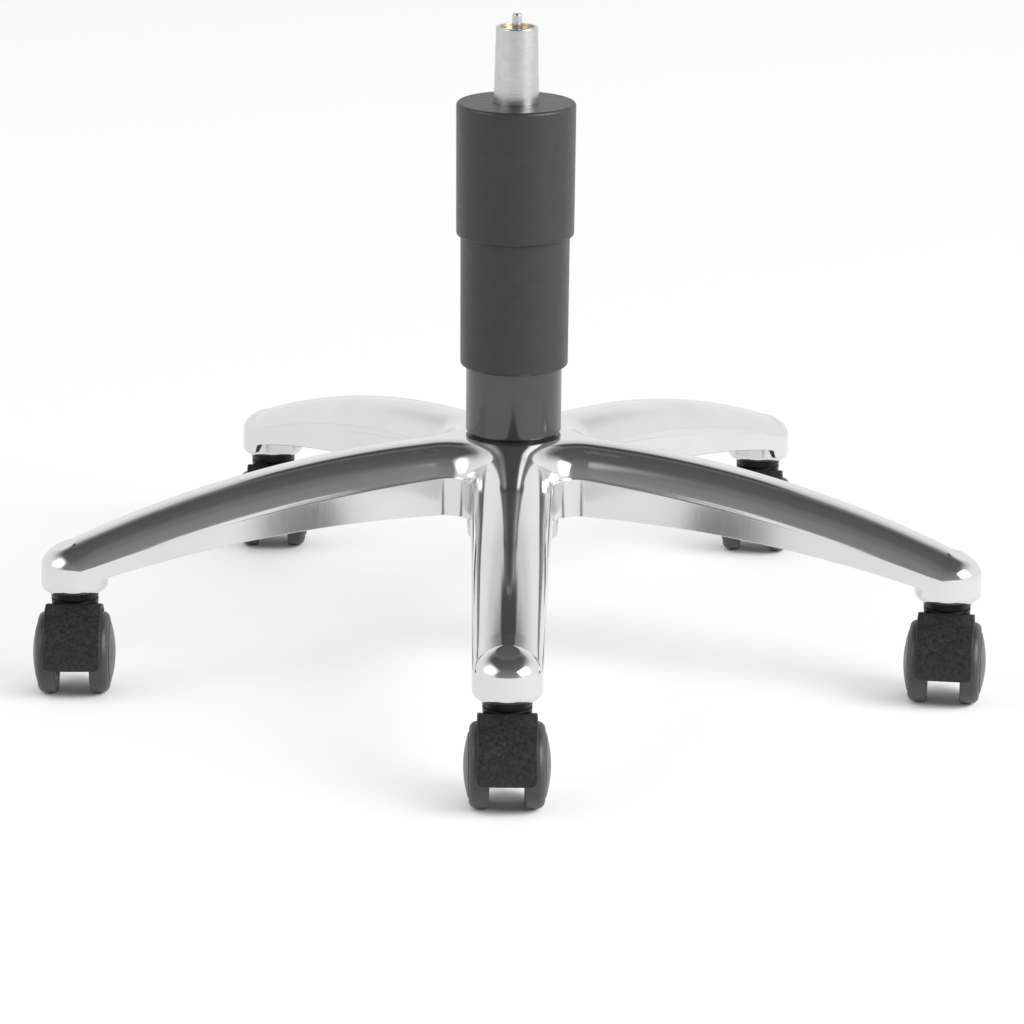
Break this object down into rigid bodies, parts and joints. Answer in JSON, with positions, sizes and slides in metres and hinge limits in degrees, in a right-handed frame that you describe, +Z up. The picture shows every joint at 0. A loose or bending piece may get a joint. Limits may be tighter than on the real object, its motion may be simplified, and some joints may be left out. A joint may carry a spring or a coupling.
{
  "type": "swivel chair pedestal",
  "caption": "Polished aluminium star base on hooded swivel castors, with a gas-spring column inside a telescopic plastic cover and a tapered top that takes a seat.",
  "frame": {"origin": "point on the floor under the column axis", "axes": "+Z up the column towards the seat, -Y along the front arm, +X to the right seen from the front arm"},
  "size_m": [0.5847, 0.5751, 0.4055],
  "materials": {
    "polished_aluminium": "polished",
    "black_steel": "satin",
    "ground_steel": "ground",
    "bearing_steel": "polished",
    "castor_steel": "zinc plated",
    "valve_brass": "turned",
    "piston_aluminium": "turned",
    "acetal": "satin",
    "seal_rubber": "matt",
    "lower_sleeve_plastic": "semi-gloss",
    "sleeve_plastic": "satin",
    "hood_plastic": "fine moulded grain",
    "collar_plastic": "satin",
    "wheel_plastic": "satin",
    "tyre_rubber": "matt"
  },
  "bodies": {
    "base": {"star_base": "polished_aluminium", "column_tube": "black_steel", "guide_bush": "acetal", "bearing_lower_race": "bearing_steel", "lower_sleeve": "lower_sleeve_plastic", "stem_grip_rings": "bearing_steel", "front_castor_stem": "castor_steel", "right_castor_stem": "castor_steel", "rear_right_castor_stem": "castor_steel", "rear_left_castor_stem": "castor_steel", "left_castor_stem": "castor_steel"},
    "rod": {"piston_rod": "ground_steel", "bearing_upper_race": "bearing_steel", "buffer_ring": "seal_rubber", "rod_clip": "black_steel", "piston": "piston_aluminium", "piston_seal": "seal_rubber"},
    "ball_cage": {"bearing_cage": "acetal", "bearing_balls": "bearing_steel"},
    "lift": {"pressure_tube": "ground_steel", "rod_guide": "acetal", "valve_body": "valve_brass", "upper_sleeve": "sleeve_plastic"},
    "release_button": {"release_pin": "ground_steel"},
    "middle_cover": {"middle_sleeve": "sleeve_plastic"},
    "front_castor": {"front_castor_housing": "hood_plastic", "front_castor_collar": "collar_plastic", "front_castor_axle": "castor_steel"},
    "front_castor_left_wheel": {"front_castor_left_wheel": "wheel_plastic", "front_castor_left_wheel_tyre": "tyre_rubber"},
    "front_castor_right_wheel": {"front_castor_right_wheel": "wheel_plastic", "front_castor_right_wheel_tyre": "tyre_rubber"},
    "right_castor": {"right_castor_housing": "hood_plastic", "right_castor_collar": "collar_plastic", "right_castor_axle": "castor_steel"},
    "right_castor_left_wheel": {"right_castor_left_wheel": "wheel_plastic", "right_castor_left_wheel_tyre": "tyre_rubber"},
    "right_castor_right_wheel": {"right_castor_right_wheel": "wheel_plastic", "right_castor_right_wheel_tyre": "tyre_rubber"},
    "rear_right_castor": {"rear_right_castor_housing": "hood_plastic", "rear_right_castor_collar": "collar_plastic", "rear_right_castor_axle": "castor_steel"},
    "rear_right_castor_left_wheel": {"rear_right_castor_left_wheel": "wheel_plastic", "rear_right_castor_left_wheel_tyre": "tyre_rubber"},
    "rear_right_castor_right_wheel": {"rear_right_castor_right_wheel": "wheel_plastic", "rear_right_castor_right_wheel_tyre": "tyre_rubber"},
    "rear_left_castor": {"rear_left_castor_housing": "hood_plastic", "rear_left_castor_collar": "collar_plastic", "rear_left_castor_axle": "castor_steel"},
    "rear_left_castor_left_wheel": {"rear_left_castor_left_wheel": "wheel_plastic", "rear_left_castor_left_wheel_tyre": "tyre_rubber"},
    "rear_left_castor_right_wheel": {"rear_left_castor_right_wheel": "wheel_plastic", "rear_left_castor_right_wheel_tyre": "tyre_rubber"},
    "left_castor": {"left_castor_housing": "hood_plastic", "left_castor_collar": "collar_plastic", "left_castor_axle": "castor_steel"},
    "left_castor_left_wheel": {"left_castor_left_wheel": "wheel_plastic", "left_castor_left_wheel_tyre": "tyre_rubber"},
    "left_castor_right_wheel": {"left_castor_right_wheel": "wheel_plastic", "left_castor_right_wheel_tyre": "tyre_rubber"}
  },
  "joints": [
    {"name": "seat_swivel", "type": "hinge", "parent": "base", "child": "rod", "pos_m": [0, 0, 0.0795], "axis": [0, 0, 1], "continuous": true},
    {"name": "bearing_cage_turn", "type": "hinge", "parent": "base", "child": "ball_cage", "pos_m": [0, 0, 0.0795], "axis": [0, 0, 1], "continuous": true},
    {"name": "height_adjust", "type": "slide", "parent": "rod", "child": "lift", "axis": [0, 0, 1], "range_m": [-0.08, 0.04]},
    {"name": "release_press", "type": "slide", "parent": "lift", "child": "release_button", "axis": [0, 0, -1], "range_m": [0, 0.0045], "stiffness_N_per_m": 1000},
    {"name": "middle_cover_slide", "type": "slide", "parent": "base", "child": "middle_cover", "axis": [0, 0, 1], "range_m": [-0.04, 0.02]},
    {"name": "front_castor_swivel", "type": "hinge", "parent": "base", "child": "front_castor", "pos_m": [0, -0.282, 0.0565], "axis": [0, 0, 1], "continuous": true},
    {"name": "front_castor_left_roll", "type": "hinge", "parent": "front_castor", "child": "front_castor_left_wheel", "pos_m": [0.00025, -0.2965, 0.025], "axis": [0.9998, 0.0175, 0], "continuous": true},
    {"name": "front_castor_right_roll", "type": "hinge", "parent": "front_castor", "child": "front_castor_right_wheel", "pos_m": [0.00025, -0.2965, 0.025], "axis": [0.9998, 0.0175, 0], "continuous": true},
    {"name": "right_castor_swivel", "type": "hinge", "parent": "base", "child": "right_castor", "pos_m": [0.2682, -0.08714, 0.0565], "axis": [0, 0, 1], "continuous": true},
    {"name": "right_castor_left_roll", "type": "hinge", "parent": "right_castor", "child": "right_castor_left_wheel", "pos_m": [0.26648, -0.10154, 0.025], "axis": [0.993, -0.1184, 0], "continuous": true},
    {"name": "right_castor_right_roll", "type": "hinge", "parent": "right_castor", "child": "right_castor_right_wheel", "pos_m": [0.26648, -0.10154, 0.025], "axis": [0.993, -0.1184, 0], "continuous": true},
    {"name": "rear_right_castor_swivel", "type": "hinge", "parent": "base", "child": "rear_right_castor", "pos_m": [0.16576, 0.22814, 0.0565], "axis": [0, 0, 1], "continuous": true},
    {"name": "rear_right_castor_left_roll", "type": "hinge", "parent": "rear_right_castor", "child": "rear_right_castor_left_wheel", "pos_m": [0.16462, 0.21369, 0.025], "axis": [0.9969, -0.0785, 0], "continuous": true},
    {"name": "rear_right_castor_right_roll", "type": "hinge", "parent": "rear_right_castor", "child": "rear_right_castor_right_wheel", "pos_m": [0.16462, 0.21369, 0.025], "axis": [0.9969, -0.0785, 0], "continuous": true},
    {"name": "rear_left_castor_swivel", "type": "hinge", "parent": "base", "child": "rear_left_castor", "pos_m": [-0.16576, 0.22814, 0.0565], "axis": [0, 0, 1], "continuous": true},
    {"name": "rear_left_castor_left_roll", "type": "hinge", "parent": "rear_left_castor", "child": "rear_left_castor_left_wheel", "pos_m": [-0.16525, 0.21365, 0.025], "axis": [0.9994, 0.0349, 0], "continuous": true},
    {"name": "rear_left_castor_right_roll", "type": "hinge", "parent": "rear_left_castor", "child": "rear_left_castor_right_wheel", "pos_m": [-0.16525, 0.21365, 0.025], "axis": [0.9994, 0.0349, 0], "continuous": true},
    {"name": "left_castor_swivel", "type": "hinge", "parent": "base", "child": "left_castor", "pos_m": [-0.2682, -0.08714, 0.0565], "axis": [0, 0, 1], "continuous": true},
    {"name": "left_castor_left_roll", "type": "hinge", "parent": "left_castor", "child": "left_castor_left_wheel", "pos_m": [-0.26767, -0.10163, 0.025], "axis": [0.9993, 0.0366, 0], "continuous": true},
    {"name": "left_castor_right_roll", "type": "hinge", "parent": "left_castor", "child": "left_castor_right_wheel", "pos_m": [-0.26767, -0.10163, 0.025], "axis": [0.9993, 0.0366, 0], "continuous": true}
  ],
  "couplings": [
    {"joint": "bearing_cage_turn", "follows": "seat_swivel", "ratio": 0.5},
    {"joint": "middle_cover_slide", "follows": "height_adjust", "ratio": 0.5}
  ]
}
